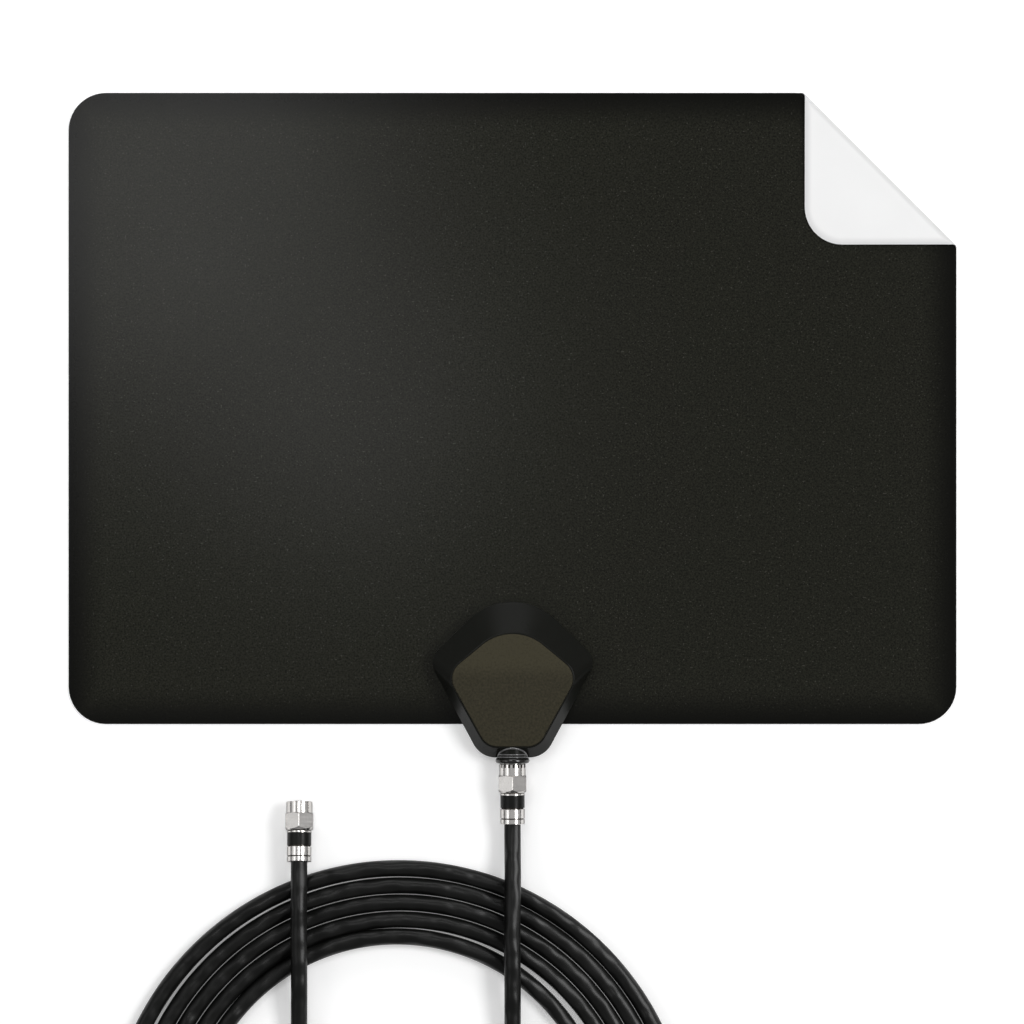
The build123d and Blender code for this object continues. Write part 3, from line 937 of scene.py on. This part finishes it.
class ANTENNA_OT_cut_nut_thread(bpy.types.Operator):
    """Wind the thread inside the free connector's nut"""

    bl_idname = "antenna.cut_nut_thread"
    bl_label = "Cut nut thread"

    def execute(self, context):
        looks = context.scene.antenna_connectors
        middle = (THREAD_ROOT + THREAD_CREST) / 2
        bpy.ops.object.select_all(action="DESELECT")
        bpy.ops.mesh.primitive_plane_add(size=1, rotation=(math.radians(90), 0, 0))
        thread = context.object
        thread.name = "free_nut_thread"
        thread.scale = (THREAD_ROOT - THREAD_CREST, looks.thread_pitch * ROOT_SHARE, 1)
        thread.location = (middle, 0, THREAD_START)
        bpy.ops.object.transform_apply()

        # Narrow the profile at its crest, then keep its outline alone
        bpy.ops.object.mode_set(mode="EDIT")
        bpy.ops.mesh.select_all(action="DESELECT")
        bpy.ops.object.mode_set(mode="OBJECT")
        for vertex in thread.data.vertices:
            vertex.select = vertex.co.x < middle
        bpy.ops.object.mode_set(mode="EDIT")
        bpy.ops.mesh.select_mode(type="VERT")
        bpy.ops.transform.resize(value=(1, 1, CREST_SHARE))
        bpy.ops.mesh.select_all(action="SELECT")
        bpy.ops.mesh.delete(type="ONLY_FACE")
        bpy.ops.object.mode_set(mode="OBJECT")

        # Wind the outline and close both ends of the thread
        wind_profile(
            thread,
            screw_offset=looks.thread_pitch,
            iterations=looks.thread_turns,
            use_merge_vertices=False,
        )
        bpy.ops.object.mode_set(mode="EDIT")
        bpy.ops.mesh.select_all(action="SELECT")
        bpy.ops.mesh.fill_holes(sides=4)
        bpy.ops.mesh.select_all(action="SELECT")
        bpy.ops.mesh.normals_make_consistent(inside=False)
        bpy.ops.object.mode_set(mode="OBJECT")

        thread.rotation_euler = (math.radians(90) - FREE_TILT, 0, 0)
        thread.location = FREE_NUT_FRONT
        bpy.ops.object.transform_apply()
        bpy.ops.object.shade_smooth_by_angle(angle=math.radians(25))
        nickel = turned_metal("thread_nickel", looks.nickel_tone, gloss=0.24, turn=-FREE_TILT)
        thread.data.materials.append(nickel)
        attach(thread, "tv_nut")
        return {"FINISHED"}


def smooth_step(value):
    """Eases a value between 0 and 1."""
    value = min(max(value, 0.0), 1.0)
    return value * value * (3 - 2 * value)


def turn_point(across, up, reach, angle, height):
    """Point at a reach and an angle from the centre of a turn."""
    return (across + reach * math.cos(angle), up + reach * math.sin(angle), height)


def coil_points(steps):
    """Control points of all the turns, wound from the inside out and clockwise from above.

    Each turn eases into the next one over its last part. The outermost draws in a little there,
    and climbs onto the coil.
    """
    outside = 1 / math.cos(math.pi / steps)
    across, up, radius = COIL_TURNS[-1]
    last_end = (across, up, radius - DRAW_IN)
    points = []
    for turn, following in zip(COIL_TURNS, [*COIL_TURNS[1:], last_end]):
        climb = CLIMB if following is last_end else 0.0
        for step in range(steps):
            share = step / steps
            ease = smooth_step((share - EASE_START) / (1 - EASE_START))
            across, up, radius = [a + (b - a) * ease for a, b in zip(turn, following)]
            angle = TURN_START - 2 * math.pi * share
            height = CABLE_REST + climb * smooth_step((share - CLIMB_START) / CLIMB_SPAN)
            points.append(turn_point(across, up, radius * outside, angle, height))
    points.append(turn_point(*last_end, TURN_START, CABLE_REST + CLIMB))
    return points


class ANTENNA_OT_lay_cable(bpy.types.Operator):
    """Lay the cable from the port through its coil to the free connector"""

    bl_idname = "antenna.lay_cable"
    bl_label = "Lay cable"

    def execute(self, context):
        settings = context.scene.antenna_cable
        route = LEAD_POINTS + coil_points(settings.turn_points) + TAIL_POINTS
        line = bpy.data.curves.new("cable", "CURVE")
        line.dimensions = "3D"
        spline = line.splines.new("NURBS")
        spline.points.add(len(route) - 1)
        for point, place in zip(spline.points, route):
            point.co = (*place, 1)
        spline.order_u = 3
        spline.use_endpoint_u = True
        line.resolution_u = 8
        line.bevel_depth = settings.diameter / 2
        line.bevel_resolution = 6
        line.use_fill_caps = True
        line.materials.append(jacket_finish(settings.jacket_tone))
        cable = bpy.data.objects.new("cable", line)
        context.scene.collection.objects.link(cable)

        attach(cable, "antenna")
        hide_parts("cable_lead", "cable_coil", "cable_tail")
        return {"FINISHED"}


def lay_floor(tone):
    """Pale floor that looks white and keeps the object's shadow."""
    bpy.ops.object.select_all(action="DESELECT")
    bpy.ops.mesh.primitive_plane_add(size=FLOOR_SIDE, location=(0, 0, FLOOR_LEVEL))
    floor = bpy.context.object
    floor.name = "floor"
    bpy.ops.object.transform_apply()
    finish, tree, shader = start_finish("pale_floor", roughness=0.7, shine=0.1)
    vary_tone(tree, shader, grain(tree, size=0.2), tone, share=0.004)
    rays = tree.nodes.new("ShaderNodeLightPath").outputs
    seen = link_math(tree, "ADD", rays["Is Camera Ray"], rays["Is Glossy Ray"])
    seen = link_math(tree, "ADD", seen, rays["Is Transmission Ray"])
    glow = link_math(tree, "MULTIPLY", seen, FLOOR_GLOW)
    shader.inputs["Emission Color"].default_value = (1, 1, 1, 1)
    tree.links.new(glow, shader.inputs["Emission Strength"])
    floor.data.materials.append(finish)


def light_room(scene):
    """Room light that changes with height."""
    room = bpy.data.worlds.new("studio_room")
    room.use_nodes = True
    tree = room.node_tree
    place = tree.nodes.new("ShaderNodeTexCoord")
    split = tree.nodes.new("ShaderNodeSeparateXYZ")
    height = tree.nodes.new("ShaderNodeValToRGB")
    stops = height.color_ramp.elements
    stops[1].position = ROOM_LIGHT[-1][0]
    for level, _ in ROOM_LIGHT[1:-1]:
        stops.new(level)
    for stop, (_, light) in zip(stops, ROOM_LIGHT):
        stop.color = (light, light, light, 1)
    tree.links.new(place.outputs["Generated"], split.inputs["Vector"])
    tree.links.new(split.outputs["Z"], height.inputs["Fac"])
    tree.links.new(height.outputs["Color"], tree.nodes["Background"].inputs["Color"])
    scene.world = room


def aim_lamp(name, place, target, width, height, power):
    """Upright softbox that points at a target and isn't seen by the camera."""
    lamp = bpy.data.lights.new(name, "AREA")
    lamp.shape = "RECTANGLE"
    lamp.size = width
    lamp.size_y = height
    lamp.energy = power
    holder = bpy.data.objects.new(name, lamp)
    bpy.context.scene.collection.objects.link(holder)
    aim = Vector(target) - Vector(place)
    holder.matrix_world = Matrix.Translation(place) @ aim.to_track_quat("-Z", "Y").to_matrix().to_4x4()
    holder.visible_camera = False


def light_alone(lamp, piece):
    """Keeps a lamp's light to one piece."""
    lit = bpy.data.collections.new(f"{lamp.name}_lights")
    lit.objects.link(piece)
    lamp.light_linking.receiver_collection = lit


def place_camera(scene, stage):
    """Camera straight above the picture's middle, as high as its lens needs."""
    lens = bpy.data.cameras.new("camera")
    lens.type = "PERSP"
    lens.sensor_width = SENSOR_WIDTH
    lens.lens = stage.lens
    camera = bpy.data.objects.new("camera", lens)
    scene.collection.objects.link(camera)
    camera.location = (*stage.frame_centre, stage.lens / SENSOR_WIDTH * stage.frame_width)
    scene.camera = camera


class ANTENNA_OT_set_stage(bpy.types.Operator):
    """Set the floor, the room light, the lamps and the camera"""

    bl_idname = "antenna.set_stage"
    bl_label = "Set stage"

    def execute(self, context):
        stage = context.scene.antenna_stage
        lay_floor(stage.floor_tone)
        light_room(context.scene)
        middle = (*stage.frame_centre, 0)
        for name, place, target, width, height in LAMPS:
            power = getattr(stage, f"{name}_power")
            aim_lamp(f"{name}_lamp", place, target or middle, width, height, power)
        light_alone(bpy.data.objects["cable_lamp"], bpy.data.objects["cable"])
        place_camera(context.scene, stage)
        context.scene.view_settings.view_transform = "Standard"
        return {"FINISHED"}


STEPS = (
    ANTENNA_OT_dress_sheet,
    ANTENNA_OT_dress_housing,
    ANTENNA_OT_dress_board,
    ANTENNA_OT_dress_connectors,
    ANTENNA_OT_trim_port,
    ANTENNA_OT_cut_nut_thread,
    ANTENNA_OT_lay_cable,
    ANTENNA_OT_set_stage,
)

SETTINGS = {
    "antenna_sheet": SheetSettings,
    "antenna_housing": HousingSettings,
    "antenna_connectors": ConnectorSettings,
    "antenna_cable": CableSettings,
    "antenna_stage": StageSettings,
}


class ANTENNA_PT_sidebar(bpy.types.Panel):
    """Settings and steps of the antenna"""

    bl_idname = "ANTENNA_PT_sidebar"
    bl_label = "Flat tv antenna"
    bl_space_type = "VIEW_3D"
    bl_region_type = "UI"
    bl_category = "Antenna"

    def draw(self, context):
        for name, group in SETTINGS.items():
            box = self.layout.box()
            for value in group.__annotations__:
                box.prop(getattr(context.scene, name), value)
        for step in STEPS:
            self.layout.operator(step.bl_idname)


def register():
    """Registers the settings, the steps and the panel."""
    for group in SETTINGS.values():
        bpy.utils.register_class(group)
    for name, group in SETTINGS.items():
        setattr(bpy.types.Scene, name, PointerProperty(type=group))
    for step in STEPS:
        bpy.utils.register_class(step)
    bpy.utils.register_class(ANTENNA_PT_sidebar)


def unregister():
    """Takes the panel, the steps and the settings away again."""
    bpy.utils.unregister_class(ANTENNA_PT_sidebar)
    for step in reversed(STEPS):
        bpy.utils.unregister_class(step)
    for name in SETTINGS:
        delattr(bpy.types.Scene, name)
    for group in reversed(SETTINGS.values()):
        bpy.utils.unregister_class(group)


def main():
    """Dresses the antenna step by step."""
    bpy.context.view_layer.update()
    register()
    bpy.ops.antenna.dress_sheet()
    bpy.ops.antenna.dress_housing()
    bpy.ops.antenna.dress_board()
    bpy.ops.antenna.dress_connectors()
    bpy.ops.antenna.trim_port()
    bpy.ops.antenna.cut_nut_thread()
    bpy.ops.antenna.lay_cable()
    bpy.ops.antenna.set_stage()


if __name__ == "__main__":
    main()
